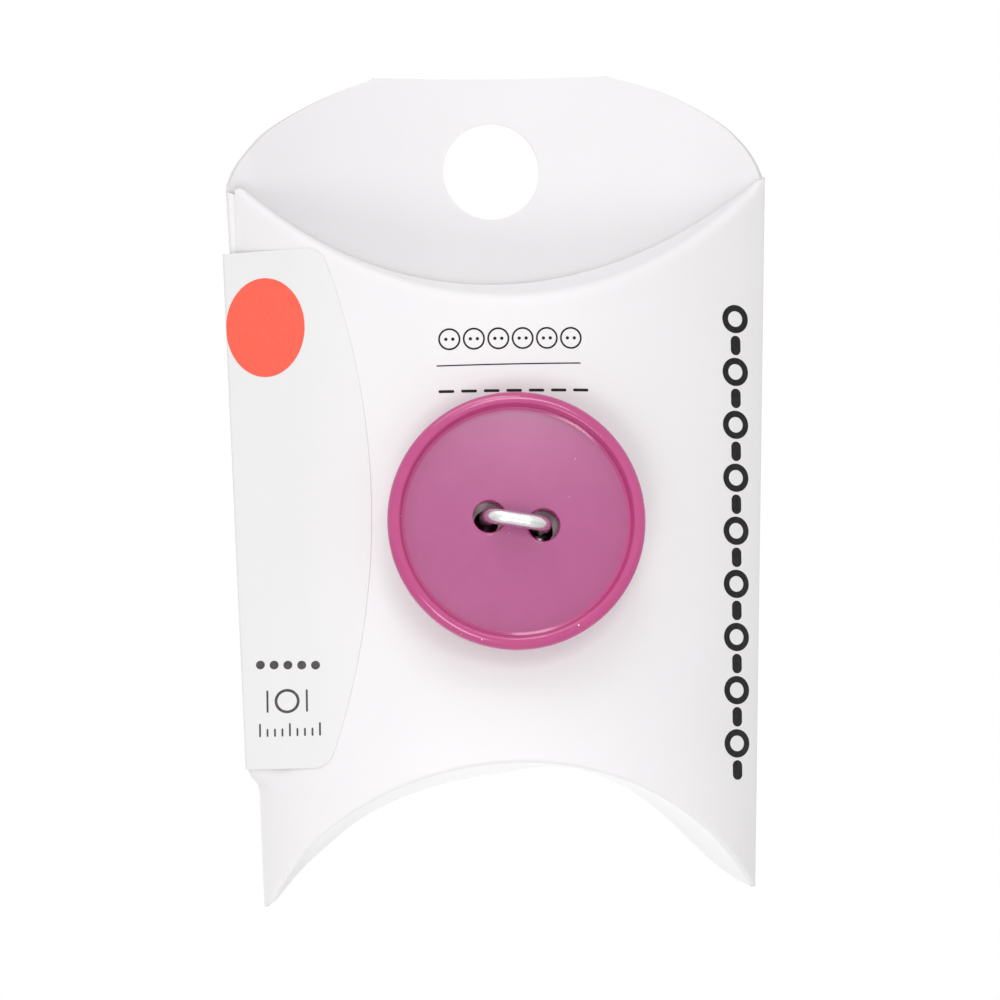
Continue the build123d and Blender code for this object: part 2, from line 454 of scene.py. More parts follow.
def add_node(tree, kind, **values):
    node = tree.nodes.new(kind)
    for key, value in values.items():
        if hasattr(node, key):
            setattr(node, key, value)
        else:
            node.inputs[key.replace("_", " ")].default_value = value
    return node


def object_noise(tree, scale, detail, roughness=0.5):
    place = add_node(tree, "ShaderNodeTexCoord")
    noise = add_node(tree, "ShaderNodeTexNoise", Scale=scale, Detail=detail, Roughness=roughness)
    tree.links.new(place.outputs["Object"], noise.inputs["Vector"])
    return noise


def colour_ramp(tree, source, low, high, low_colour, high_colour):
    ramp = add_node(tree, "ShaderNodeValToRGB")
    ramp.color_ramp.elements[0].position = low
    ramp.color_ramp.elements[0].color = (*low_colour, 1)
    ramp.color_ramp.elements[1].position = high
    ramp.color_ramp.elements[1].color = (*high_colour, 1)
    tree.links.new(source, ramp.inputs["Fac"])
    return ramp


def add_bump(tree, shader, source, strength, distance):
    bump = add_node(tree, "ShaderNodeBump", Strength=strength, Distance=distance * MILLIMETRE)
    tree.links.new(source, bump.inputs["Height"])
    tree.links.new(bump.outputs["Normal"], shader.inputs["Normal"])


def add_roughness(tree, shader, source, low, high):
    spread = add_node(tree, "ShaderNodeMapRange")
    spread.inputs["To Min"].default_value = low
    spread.inputs["To Max"].default_value = high
    tree.links.new(source, spread.inputs["Value"])
    tree.links.new(spread.outputs["Result"], shader.inputs["Roughness"])


def paper_material(name, dark, light, fibre, rough_low, rough_high):
    made, tree, shader = new_material(name)
    tone = object_noise(tree, 90, 3)
    ramp = colour_ramp(tree, tone.outputs["Fac"], 0.3, 0.7, dark, light)
    tree.links.new(ramp.outputs["Color"], shader.inputs["Base Color"])
    grain = object_noise(tree, fibre, 4, 0.6)
    add_bump(tree, shader, grain.outputs["Fac"], 0.16, 0.012)
    add_roughness(tree, shader, grain.outputs["Fac"], rough_low, rough_high)
    shader.inputs["Specular IOR Level"].default_value = 0.35
    return made


board_face = paper_material("board_face", (0.845, 0.83, 0.842), (0.865, 0.85, 0.862), 4200, 0.42, 0.58)
board_edge = paper_material("board_edge", (0.70, 0.68, 0.68), (0.78, 0.76, 0.755), 7000, 0.8, 0.95)
label_face = paper_material("label_face", (0.825, 0.815, 0.818), (0.84, 0.83, 0.833), 5200, 0.38, 0.5)
label_edge = paper_material("label_edge", (0.82, 0.81, 0.81), (0.86, 0.85, 0.85), 7000, 0.8, 0.95)


def ink_material(name, dark, light):
    made, tree, shader = new_material(name)
    tone = object_noise(tree, 2600, 3)
    ramp = colour_ramp(tree, tone.outputs["Fac"], 0.35, 0.75, dark, light)
    tree.links.new(ramp.outputs["Color"], shader.inputs["Base Color"])
    add_roughness(tree, shader, tone.outputs["Fac"], 0.45, 0.62)
    shader.inputs["Specular IOR Level"].default_value = 0.12
    return made


black_ink = ink_material("black_ink", (0.012, 0.011, 0.012), (0.028, 0.026, 0.027))
grey_ink = ink_material("grey_ink", (0.075, 0.07, 0.068), (0.12, 0.112, 0.108))
coral_ink = ink_material("coral_ink", (0.95, 0.135, 0.09), (0.97, 0.15, 0.102))


def button_material(name, dark, light, rough_low, rough_high, gloss):
    made, tree, shader = new_material(name)
    mottle = object_noise(tree, 420, 4, 0.6)
    ramp = colour_ramp(tree, mottle.outputs["Fac"], 0.3, 0.72, dark, light)
    dust = object_noise(tree, 2300, 1, 0.4)
    specks = add_node(tree, "ShaderNodeMapRange")
    specks.inputs["From Min"].default_value = 0.80
    specks.inputs["From Max"].default_value = 0.83
    tree.links.new(dust.outputs["Fac"], specks.inputs["Value"])
    mix = add_node(tree, "ShaderNodeMix", data_type="RGBA")
    tree.links.new(specks.outputs["Result"], mix.inputs["Factor"])
    colour_inputs = [socket for socket in mix.inputs if socket.type == "RGBA"]
    colour_outputs = [socket for socket in mix.outputs if socket.type == "RGBA"]
    tree.links.new(ramp.outputs["Color"], colour_inputs[0])
    colour_inputs[1].default_value = (0.85, 0.72, 0.78, 1)
    tree.links.new(colour_outputs[0], shader.inputs["Base Color"])
    fine = object_noise(tree, 3400, 3, 0.6)
    add_bump(tree, shader, fine.outputs["Fac"], 0.08, 0.01)
    smear = object_noise(tree, 260, 3, 0.55)
    add_roughness(tree, shader, smear.outputs["Fac"], rough_low, rough_high)
    shader.inputs["Specular IOR Level"].default_value = gloss
    return made


def wire_material():
    made, tree, shader = new_material("tie_wire")
    tone = object_noise(tree, 1500, 3)
    ramp = colour_ramp(tree, tone.outputs["Fac"], 0.3, 0.7, (0.71, 0.71, 0.712), (0.8, 0.8, 0.802))
    tree.links.new(ramp.outputs["Color"], shader.inputs["Base Color"])
    drawn = object_noise(tree, 5200, 2)
    add_bump(tree, shader, drawn.outputs["Fac"], 0.1, 0.01)
    add_roughness(tree, shader, drawn.outputs["Fac"], 0.2, 0.38)
    shader.inputs["Metallic"].default_value = 1
    return made


# One plastic in two copies: the rim's base is redder than the face's, and that extra red is painted light,
# the glow of light bounced between rim and face and passed through the plastic.
button_plastic = button_material(
    "button_plastic", (0.49, 0.056, 0.212), (0.52, 0.064, 0.23), 0.08, 0.15, 0.6)
button_face = button_material(
    "button_face", (0.385, 0.058, 0.212), (0.415, 0.066, 0.23), 0.26, 0.34, 0.9)
wire_metal = wire_material()


# Carton: one sheet from the front's raw edge round the pack to the glue tab

FLAP_ROWS = 12
CREASE_ROWS = 7
PANEL_ROWS = 100
FRONT_COLUMNS = 111
BACK_COLUMNS = 111
FOLD_COLUMNS = 7
GLUE_COLUMNS = 30

top_slope = np.array([0, bulge(TOP + TOP_CREASE_DROP), TOP_CREASE_DROP])
top_slope /= np.linalg.norm(top_slope)
UPRIGHT = np.array([0, 0, 1.0])
TUCKED_WAY = 2 * (UPRIGHT @ top_slope) * top_slope - UPRIGHT


def flap_length(start, way):
    """How far a flap runs from its crease before it meets the panel across."""
    length = 0.0
    for _ in range(FLAP_ROUNDS):
        reach = start + way * length
        level = reach[2]
        end, centre, radius, half_angle = panel_arc(level)
        across = math.sqrt(max(radius ** 2 - start[0] ** 2, centre ** 2)) - centre
        length = max(0.0, (abs(start[1]) + across - FLAP_CLEARANCE) / abs(way[1]))
    return length


def crease_round(first, corner, last):
    """Rows of a rounded crease, ends included."""
    steps = np.linspace(0, 1, CREASE_ROWS)[:, None]
    return (1 - steps) ** 2 * first + 2 * steps * (1 - steps) * corner + steps ** 2 * last


def column_rows(point_at, high, low, top_way=None, bottom_way=None):
    """One column of the sheet, from the end of its upper flap to the end of its lower one."""
    top_corner, bottom_corner = point_at(high), point_at(low)
    top_length = flap_length(top_corner, top_way) if top_way is not None else 0.0
    bottom_length = flap_length(bottom_corner, bottom_way) if bottom_way is not None else 0.0
    top_trim = min(TOP_CREASE_TRIM, top_length / 2)
    bottom_trim = min(CREASE_TRIM, bottom_length / 2)
    top_way = UPRIGHT if top_way is None else top_way
    bottom_way = UPRIGHT if bottom_way is None else bottom_way
    rows = [top_corner + top_way * run for run in np.linspace(top_length, top_trim, FLAP_ROWS)]
    rows += list(crease_round(
        top_corner + top_way * top_trim, top_corner, point_at(high - top_trim)))[1:-1]
    rows += [point_at(level) for level in np.linspace(high - top_trim, low + bottom_trim, PANEL_ROWS)]
    rows += list(crease_round(
        point_at(low + bottom_trim), bottom_corner, bottom_corner + bottom_way * bottom_trim))[1:-1]
    rows += [bottom_corner + bottom_way * run for run in np.linspace(bottom_trim, bottom_length, FLAP_ROWS)]
    return rows


def tilted(degrees, toward):
    return np.array([0, toward * math.cos(math.radians(degrees)), math.sin(math.radians(degrees))])


def outer_flap_way(x):
    """The outer flap bows: it rises toward the back right of its middle and sinks at both ends."""
    slopes = [np.interp(x + near, OUTER_FLAP_PLACES, OUTER_FLAP_SLOPES) for near in OUTER_FLAP_BLEND]
    return tilted(math.degrees(math.atan(sum(slopes) / len(slopes))), -1)


def raw_inset(level):
    """How far the front's raw edge stops short of the left crease."""
    return between(RAW_EDGE_INSET_BOTTOM, RAW_EDGE_INSET_TOP, level)


def raw_share(level):
    return share_at(raw_inset(level) - half_width(level), level)


def tip_drop(share, most=TIP_DROP):
    """How much lower the pack's left bottom tip reaches than its right one."""
    return most * float(smooth_step((-share - TIP_START_SHARE) / (1 - TIP_START_SHARE)))


def front_columns():
    columns = []
    for step in np.linspace(0, 1, FRONT_COLUMNS):
        def share_of(level, step=step):
            left = raw_share(level)
            return left + step * (1 - left)

        high = crease_level(share_of, TOP, TOP_CREASE_DROP)
        low = crease_level(share_of, BOTTOM - tip_drop(2 * step - 1), BOTTOM_CREASE_RISE)
        on_left = step < 0.5
        way = None if on_left and high > SHOULDER_LEVEL else TUCKED_WAY
        if on_left:
            high = min(high, SHOULDER_LEVEL)
        columns.append(column_rows(
            lambda level: panel_point(share_of(level), level), high, low,
            way, outer_flap_way(panel_point(share_of(low), low)[0])))
    return columns


def settle_left(points):
    """Draws the left of the back, fold and glue tab in under the front at the bottom, out at the top."""
    x, z = points[:, 0], points[:, 2]
    level = np.minimum(z, TOP)
    near = smooth_step((-x - half_width(z)) / between(SEAM_REACH_BOTTOM, SEAM_REACH_TOP, level) + 1)
    moved = points.copy()
    moved[:, 0] += between(SEAM_SINK_BOTTOM, SEAM_SINK_TOP, level) * near
    return moved


def flare_left(points):
    """Bulge of the left crease inside the label, which ends just below the label."""
    x, z = points[:, 0], points[:, 2]
    near = smooth_step((-x - half_width(z)) / FLARE_REACH + 1)
    below = 1 - smooth_step((LABEL_BOTTOM - z) / FLARE_HEIGHT)
    above = 1 - smooth_step((z - LABEL_BOTTOM) / FLARE_FADE)
    moved = points.copy()
    moved[:, 0] -= FLARE * near * below * above
    return moved


def back_point(share, level):
    return panel_point(share, level) * np.array([1, -1, 1])


def back_columns():
    flat_level = TOP + TAB_FLAT_HEIGHT
    shares = set(np.linspace(-1, 1, BACK_COLUMNS))
    for side in (-1, 1):
        shares.add(share_at(side * TAB_FLAT_HALF_WIDTH, flat_level))
    columns = []
    for share in sorted(shares, reverse=True):
        low = crease_level(lambda level: share, BOTTOM - tip_drop(share, HIDDEN_TIP_DROP), BACK_CREASE_RISE)
        columns.append(column_rows(
            lambda level: back_point(share, level), tab_level(share), low,
            None, tilted(INNER_FLAP_TILT, 1)))
    return columns


def fold_columns(side):
    """Columns of a side crease, from the front to the back on the right and back again on the left."""
    tab_corner = tab_level(1.0)
    columns = []
    for step in range(1, FOLD_COLUMNS):
        def point_at(level, step=step):
            end, centre, radius, half_angle = panel_arc(level)
            share = step / FOLD_COLUMNS
            turn = half_angle + (math.pi - 2 * half_angle) * (share if side > 0 else 1 - share)
            return np.array([side * (end + FOLD * math.sin(turn)), FOLD * math.cos(turn), level])

        depth = point_at(TOP)[1]
        widest = FOLD * math.cos(panel_arc(TOP)[3])
        corner = TOP if side > 0 else SHOULDER_LEVEL
        high = corner + TOP_CREASE_DROP * depth / bulge(TOP)
        if depth < 0:
            high = corner + (tab_corner - corner) * (-depth / widest)
        low = BOTTOM - tip_drop(side, HIDDEN_TIP_DROP) + BOTTOM_CREASE_RISE * abs(depth) / bulge(BOTTOM)
        columns.append(column_rows(point_at, high, low))
    return columns


def glue_columns():
    columns = []
    for run in np.linspace(0, GLUE_TAB_WIDTH, GLUE_COLUMNS):
        def point_at(level, run=run):
            share = -1 + run / panel_arc(level)[2] / panel_arc(level)[3]
            sunk = (BOARD + GLUE_TAB_GAP) * smooth_step(run / max(raw_inset(level) - FOLD, GLUE_TAB_STEP))
            return panel_point(share, level, -sunk)

        relief = GLUE_TAB_RELIEF * smooth_step(run / GLUE_TAB_RELIEF_RUN)
        share = -1 + run / panel_arc(TOP)[2] / panel_arc(TOP)[3]
        high = crease_level(lambda level: share, SHOULDER_LEVEL, TOP_CREASE_DROP) - relief
        low = crease_level(lambda level: share, BOTTOM, BOTTOM_CREASE_RISE) + relief
        columns.append(column_rows(point_at, high, low))
    return columns


def bore(name, radius, place, reach):
    """Cutter for a round hole along its own upright axis, set in a place."""
    cutter = lathe(name, [(0, -reach), (radius, -reach), (radius, reach), (0, reach)], BORE_STEPS)
    cutter.data.transform(place)
    return cutter


panel_lean = (BOTTOM_BULGE - TOP_BULGE) / CORNER_HEIGHT
button_level = (TOP + BOTTOM) / 2 + BUTTON_ABOVE_MIDDLE
button_out = Vector((0, -1, panel_lean)).normalized()
button_across = Vector((1, 0, 0))
button_up = button_out.cross(button_across)
button_turn = Matrix.Rotation(math.radians(-BUTTON_TURN), 4, "Z")
button_axes = Matrix((button_across, button_up, button_out)).transposed().to_4x4()
button_origin = Vector((0, CREASE_Y - bulge(button_level), button_level)) * MILLIMETRE
button_place = Matrix.Translation(button_origin) @ button_axes @ button_turn


def make_carton():
    front = np.array(front_columns() + fold_columns(1))
    rest = np.array(back_columns() + fold_columns(-1) + glue_columns())
    columns, rows = len(front) + len(rest), front.shape[1]
    points = np.concatenate([front.reshape(-1, 3), settle_left(rest.reshape(-1, 3))])
    carton = new_object("carton_sheet", warp(flare_left(points)), grid_faces(columns, rows))
    weld(carton, WELD_DISTANCE)
    carton.data.materials.append(board_face)
    carton.data.materials.append(board_edge)
    thicken(carton, BOARD, 1)
    along_peg = Matrix.Rotation(math.radians(90), 4, "X")
    cut(carton, bore("hang_hole", HANG_HOLE_RADIUS, along_peg, HANG_BORE_REACH))
    for side in (-1, 1):
        leg = Vector((side * WIRE_LEG_X, -WIRE_HOLE_DROP, 0)) * MILLIMETRE
        place = button_place @ Matrix.Translation(leg)
        cut(carton, bore("wire_hole", WIRE_HOLE_RADIUS, place, WIRE_BORE_REACH))
    smooth(carton, SHEET_SHARP_ANGLE)
    return carton


carton = make_carton()
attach(carton, "root")
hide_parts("carton")


# Label: a paper skin on both panels that stands a little proud round the glued side

LABEL_ROWS = 70
LABEL_CORNER_ROWS = 14
LABEL_PANEL_COLUMNS = 36
LABEL_RUN_COLUMNS = 14
LABEL_FOLD_COLUMNS = 10


def label_end(level):
    """How far the label reaches across a panel at a level, with its corners rounded."""
    from_middle = abs(level - (LABEL_TOP + LABEL_BOTTOM) / 2)
    arc_x = -LABEL_REACH - LABEL_EDGE_RADIUS
    inner_radius = LABEL_EDGE_RADIUS - LABEL_CORNER_RADIUS
    corner_z = LABEL_HEIGHT / 2 - LABEL_CORNER_RADIUS
    corner_x = arc_x + math.sqrt(inner_radius ** 2 - corner_z ** 2)
    if from_middle > corner_z * LABEL_EDGE_RADIUS / inner_radius:
        return corner_x + math.sqrt(max(LABEL_CORNER_RADIUS ** 2 - (from_middle - corner_z) ** 2, 0))
    return arc_x + math.sqrt(LABEL_EDGE_RADIUS ** 2 - from_middle ** 2)


def label_tip(level):
    """How far out the middle of the fold's round lies."""
    share = (level - LABEL_BOTTOM) / LABEL_HEIGHT
    proud = LABEL_PROUD_BOTTOM + (LABEL_PROUD_TOP - LABEL_PROUD_BOTTOM) * share
    return half_width(level) + proud - LABEL_FOLD_ROUND


def label_lean(level):
    """Angle round the panel's centre at which the label leaves the panel for the fold."""
    end, centre, radius, half_angle = panel_arc(level)
    skin = radius + BOARD / 2 + LABEL_GLUE + LABEL_SHEET / 2
    tip = label_tip(level)
    return math.atan2(tip, centre) - math.acos(
        min((skin - LABEL_FOLD_ROUND) / math.hypot(tip, centre), 1))


def label_half(level):
    """One half of the label at a level, from its rounded edge to the middle of the fold."""
    end, centre, radius, half_angle = panel_arc(level)
    skin = radius + BOARD / 2 + LABEL_GLUE + LABEL_SHEET / 2
    tip = label_tip(level)
    lean = label_lean(level)
    start = math.asin(-label_end(level) / skin)
    half = [(-skin * math.sin(angle), skin * math.cos(angle) - centre)
            for angle in np.linspace(start, lean, LABEL_PANEL_COLUMNS)]
    bend = [(-tip - LABEL_FOLD_ROUND * math.sin(turn), LABEL_FOLD_ROUND * math.cos(turn))
            for turn in np.linspace(lean, math.pi / 2, LABEL_FOLD_COLUMNS)]
    (leave_x, leave_t), (reach_x, reach_t) = half[-1], bend[0]
    half += [(leave_x + (reach_x - leave_x) * share, leave_t + (reach_t - leave_t) * share)
             for share in np.linspace(0, 1, LABEL_RUN_COLUMNS)[1:-1]]
    return half + bend


def label_depth(x, level):
    """Depth of the label's outer face on the front: on the panel, then straight toward the fold."""
    end, centre, radius, half_angle = panel_arc(level)
    skin = radius + BOARD / 2 + LABEL_GLUE + LABEL_SHEET
    lean = label_lean(level)
    touch = skin * math.sin(lean)
    if -x <= touch:
        return math.sqrt(skin ** 2 - x ** 2) - centre
    return skin * math.cos(lean) - centre - (-x - touch) * math.tan(lean)


def label_levels():
    """Levels of the label's rows from top to bottom, close together round its corners."""
    from_end = LABEL_CORNER_RADIUS * (1 - np.sin(np.linspace(0, math.pi / 2, LABEL_CORNER_ROWS)))
    upper = LABEL_TOP - from_end[::-1]
    lower = LABEL_BOTTOM + from_end
    return np.concatenate([upper, np.linspace(upper[-1], lower[0], LABEL_ROWS)[1:-1], lower])


def make_label():
    columns = []
    for level in label_levels():
        half = label_half(level)
        section = half + [(x, -t) for x, t in reversed(half[:-1])]
        columns.append([(x, t, level) for x, t in section])
    count = len(columns[0])
    points = warp(np.array(columns).reshape(-1, 3))
    label = new_object("label_skin", points, grid_faces(len(columns), count))
    weld(label, LABEL_WELD_DISTANCE)
    label.data.materials.append(label_face)
    label.data.materials.append(label_edge)
    thicken(label, LABEL_SHEET, 1)
    smooth(label, SHEET_SHARP_ANGLE)
    return label


label = make_label()
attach(label, "root")
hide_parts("label")


# Colour dot: a disc of ink laid on the label beside its fold

def label_run(level):
    """Places of one half of the label from the middle of the fold on, and their lengths along it."""
    half = np.array(label_half(level)[::-1])
    lengths = np.concatenate([[0], np.cumsum(np.linalg.norm(np.diff(half, axis=0), axis=1))])
    return half, lengths


def label_point(run, level):
    """Point of the label's outer face at a length from the middle of the fold, back half if below zero."""
    half, lengths = label_run(level)
    place, ahead = (
        np.array([np.interp(abs(run) + step, lengths, half[:, axis]) for axis in (0, 1)])
        for step in (0, LABEL_LOOK_AHEAD))
    along = (ahead - place) / np.linalg.norm(ahead - place)
    x, t = place + np.array([-along[1], along[0]]) * (LABEL_SHEET / 2 + 2 * INK)
    return np.array([x, t if run >= 0 else -t, level])


def make_dot():
    half, lengths = label_run(DOT_LEVEL)
    middle_run = np.interp(DOT_RIGHT_X, half[:, 0], lengths) - DOT_HALF_WIDTH
    rings, steps = DOT_RINGS, DOT_STEPS
    points = [label_point(middle_run, DOT_LEVEL)]
    for ring in range(1, rings + 1):
        share = ring / rings
        for step in range(steps):
            turn = 2 * math.pi * step / steps
            points.append(label_point(
                middle_run + share * DOT_HALF_WIDTH * math.cos(turn),
                DOT_LEVEL + share * DOT_HALF_HEIGHT * math.sin(turn)))
    faces = [(0, 1 + (step + 1) % steps, 1 + step) for step in range(steps)]
    for ring in range(rings - 1):
        inner, outer = 1 + ring * steps, 1 + (ring + 1) * steps
        for step in range(steps):
            after = (step + 1) % steps
            faces.append((inner + step, inner + after, outer + after, outer + step))
    dot = new_object("label_dot", warp(np.array(points)), faces)
    form = bmesh.new()
    form.from_mesh(dot.data)
    bmesh.ops.recalc_face_normals(form, faces=form.faces)
    if form.faces[0].normal.y > 0:
        bmesh.ops.reverse_faces(form, faces=form.faces)
    form.to_mesh(dot.data)
    form.free()
    dot.data.materials.append(coral_ink)
    smooth(dot, INK_SHARP_ANGLE)
    return dot


dot = make_dot()
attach(dot, "root")


# Print: flat marks laid on the front and on the label

class Marks:
    """Flat marks gathered into one mesh, drawn by place on a face whose depth a function gives."""

    def __init__(self, depth_at):
        self.depth_at = depth_at
        self.points = []
        self.faces = []

    def strip(self, left, right, closed=False):
        first = len(self.points)
        for pair in zip(left, right):
            self.points += pair
        count = len(left)
        for step in range(count if closed else count - 1):
            here = first + 2 * step
            there = first + 2 * ((step + 1) % count)
            self.faces.append((here, here + 1, there + 1, there))

    def ring(self, x, z, outer, inner, steps=56):
        turns = [2 * math.pi * step / steps for step in range(steps)]
        self.strip(
            [(x + inner * math.cos(turn), z + inner * math.sin(turn)) for turn in turns],
            [(x + outer * math.cos(turn), z + outer * math.sin(turn)) for turn in turns], closed=True)

    def dot(self, x, z, radius, steps=28):
        first = len(self.points)
        self.points.append((x, z))
        for step in range(steps):
            turn = 2 * math.pi * step / steps
            self.points.append((x + radius * math.cos(turn), z + radius * math.sin(turn)))
        for step in range(steps):
            self.faces.append((first, first + 1 + step, first + 1 + (step + 1) % steps))

    def bar(self, start, end, width):
        """A stroke with round ends."""
        start, end = np.array(start), np.array(end)
        along = (end - start) / np.linalg.norm(end - start)
        across = np.array([-along[1], along[0]])
        turns = [math.pi / 2 * step / ROUND_STEPS for step in range(1, ROUND_STEPS)]
        pieces = max(1, int(np.linalg.norm(end - start) / STROKE_STEP))
        places = [(start - along * (width / 2 * math.cos(turn)), math.sin(turn)) for turn in turns]
        places += [(start + (end - start) * step / pieces, 1) for step in range(pieces + 1)]
        places += [(end + along * (width / 2 * math.cos(turn)), math.sin(turn)) for turn in reversed(turns)]
        self.strip(
            [tuple(middle + across * (width / 2 * share)) for middle, share in places],
            [tuple(middle - across * (width / 2 * share)) for middle, share in places])

    def make(self, name, ink):
        points = warp(np.array([(x, self.depth_at(x, z) + INK, z) for x, z in self.points]))
        made = new_object(name, points, self.faces)
        form = bmesh.new()
        form.from_mesh(made.data)
        for face in form.faces:
            face.normal_update()
            if face.normal.y > 0:
                face.normal_flip()
        form.to_mesh(made.data)
        form.free()
        made.data.materials.append(ink)
        smooth(made, INK_SHARP_ANGLE)
        return made


def front_print():
    marks = Marks(front_depth)
    for number in range(ROW_COUNT):
        x = ROW_LEFT_X + number * ROW_PITCH
        marks.ring(x, ROW_LEVEL, ROW_OUTER_RADIUS, ROW_INNER_RADIUS)
        for side in (-1, 1):
            marks.dot(x + side * ROW_HOLE_X, ROW_LEVEL, ROW_HOLE_RADIUS)
    marks.bar(RULE_START, RULE_END, RULE_WIDTH)
    for number in range(DASH_COUNT):
        x = DASH_LEFT_X + number * DASH_PITCH
        marks.bar((x, DASH_LEVEL), (x + DASH_LENGTH, DASH_LEVEL - DASH_FALL), DASH_WIDTH)
    for number in range(CHAIN_COUNT):
        z = CHAIN_FIRST_LEVEL - number * CHAIN_PITCH
        x = CHAIN_TOP_X - CHAIN_LEAN * (CHAIN_TOP_LEVEL - z)
        marks.ring(x, z, CHAIN_OUTER_RADIUS, CHAIN_INNER_RADIUS)
        marks.bar((x, z - CHAIN_BAR_TOP), (x, z - CHAIN_BAR_BOTTOM), CHAIN_BAR_WIDTH)
    return marks.make("front_print", black_ink)


def label_print():
    marks = Marks(label_depth)
    for number in range(DOTS_COUNT):
        marks.dot(DOTS_LEFT_X + number * DOTS_PITCH, DOTS_LEVEL - number * DOTS_FALL, DOTS_RADIUS)
    marks.ring(GAUGE_X, GAUGE_LEVEL, GAUGE_OUTER_RADIUS, GAUGE_INNER_RADIUS)
    for side in (-1, 1):
        x = GAUGE_X + side * GAUGE_HALF_WIDTH
        marks.bar((x, GAUGE_LEVEL + GAUGE_HALF_HEIGHT), (x, GAUGE_LEVEL - GAUGE_HALF_HEIGHT), GAUGE_WIDTH)
    for number in range(SCALE_COUNT):
        tall = SCALE_SHORT if number % SCALE_LONG_EVERY else SCALE_LONG
        x = SCALE_LEFT_X + number * SCALE_PITCH
        marks.bar((x, SCALE_LEVEL), (x, SCALE_LEVEL + tall), SCALE_WIDTH)
    return marks.make("label_print", grey_ink)


for piece, name in ((front_print(), "carton_board"), (label_print(), "label_paper")):
    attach(piece, "root")


# Button: a turned disc with a rounded rim and two sewing holes

def button_profile():
    rim_inner = FACE_RADIUS + RIM_WALL_LEAN
    corners = [
        ((0, 0), 0),
        ((FOOT_RADIUS, 0), FOOT_ROUND),
        ((BUTTON_RADIUS, WIDEST_HEIGHT), WIDEST_ROUND),
        ((BUTTON_RADIUS, BUTTON_HEIGHT), RIM_OUTER_ROUND),
        ((rim_inner, BUTTON_HEIGHT), RIM_INNER_ROUND),
        ((FACE_RADIUS + RIM_FACET, FACE_EDGE_HEIGHT + RIM_FACET_HEIGHT), FACET_OUTER_ROUND),
        ((FACE_RADIUS - RIM_FACET, FACE_EDGE_HEIGHT), FACET_INNER_ROUND),
        ((0, FACE_EDGE_HEIGHT), 0)]
    profile = [corners[0][0]]
    for number in range(1, len(corners) - 1):
        before, (corner, radius), after = corners[number - 1][0], corners[number], corners[number + 1][0]
        profile += round_corner(before, corner, after, radius, ROUND_STEPS)
    for share in FACE_SHARES:
        profile.append((FACE_RADIUS * share, FACE_EDGE_HEIGHT + FACE_DOME * (1 - share ** 2)))
    return profile


def sewing_hole(side):
    """Cutter for a sewing hole whose upper edge is rounded over."""
    flare = SEWING_HOLE_FLARE
    mouth = FACE_EDGE_HEIGHT + FACE_DOME
    outside = SEWING_HOLE_RADIUS + flare + SEWING_CUT_MARGIN
    profile = [(0, -SEWING_CUT_BELOW), (SEWING_HOLE_RADIUS, -SEWING_CUT_BELOW)]
    for turn in np.linspace(0, math.pi / 2, SEWING_FLARE_ROWS):
        profile.append((
            SEWING_HOLE_RADIUS + flare * (1 - math.cos(turn)), mouth - flare + flare * math.sin(turn)))
    profile += [(outside, mouth + SEWING_CUT_STEP), (outside, SEWING_CUT_ABOVE), (0, SEWING_CUT_ABOVE)]
    cutter = lathe("sewing_hole", profile, SEWING_HOLE_STEPS)
    cutter.data.transform(Matrix.Translation((side * SEWING_HOLE_SPACING / 2 * MILLIMETRE, 0, 0)))
    return cutter


def make_button():
    button = lathe("button_turned", button_profile(), BUTTON_STEPS)
    for side in (-1, 1):
        cut(button, sewing_hole(side))
    button.data.transform(button_place)
    button.data.materials.append(button_plastic)
    button.data.materials.append(button_face)
    # Upward faces of the sunk face take the face copy of the plastic; the redder rim copy round them
    # carries painted glow of bounced light.
    to_button = button_place.inverted()
    for polygon in button.data.polygons:
        place = to_button @ polygon.center / MILLIMETRE
        flat = (to_button.to_3x3() @ polygon.normal).z > FACE_COLOUR_UPRIGHT
        inside = place.xy.length < FACE_RADIUS - FACE_COLOUR_INSET
        if flat and inside and place.z > FACE_EDGE_HEIGHT - FACE_COLOUR_DEPTH:
            polygon.material_index = 1
    smooth(button, BUTTON_SHARP_ANGLE)
    return button


button = make_button()
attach(button, "root")
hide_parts("display_button")

for name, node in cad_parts.items():
    finish = wire_metal if name == "tie_wire" else button_plastic
    if name.startswith("spare_button") or name == "tie_wire":
        node.data.materials.clear()
        node.data.materials.append(finish)


# Stage, in metres: pale floor, white surroundings, soft light from above and weaker light from below

FLOOR_HALF_WIDTH = 2.0
FLOOR_LEVEL = -0.16
CENTRE = (0, CREASE_Y * MILLIMETRE, -0.028)
BOTTOM_EDGE = (0, CREASE_Y * MILLIMETRE, -0.05)


def stage_floor():
    half, level = FLOOR_HALF_WIDTH, FLOOR_LEVEL
    mesh = bpy.data.meshes.new("floor")
    mesh.from_pydata(
        [(-half, -half, level), (half, -half, level), (half, half, level), (-half, half, level)],
        [], [(0, 1, 2, 3)])
    floor = bpy.data.objects.new("floor", mesh)
    bpy.context.scene.collection.objects.link(floor)
    made, tree, shader = new_material("floor_pale")
    tone = object_noise(tree, 3, 2)
    ramp = colour_ramp(tree, tone.outputs["Fac"], 0.3, 0.7, (0.86, 0.86, 0.86), (0.88, 0.88, 0.88))
    tree.links.new(ramp.outputs["Color"], shader.inputs["Base Color"])
    shader.inputs["Roughness"].default_value = 0.9
    mesh.materials.append(made)


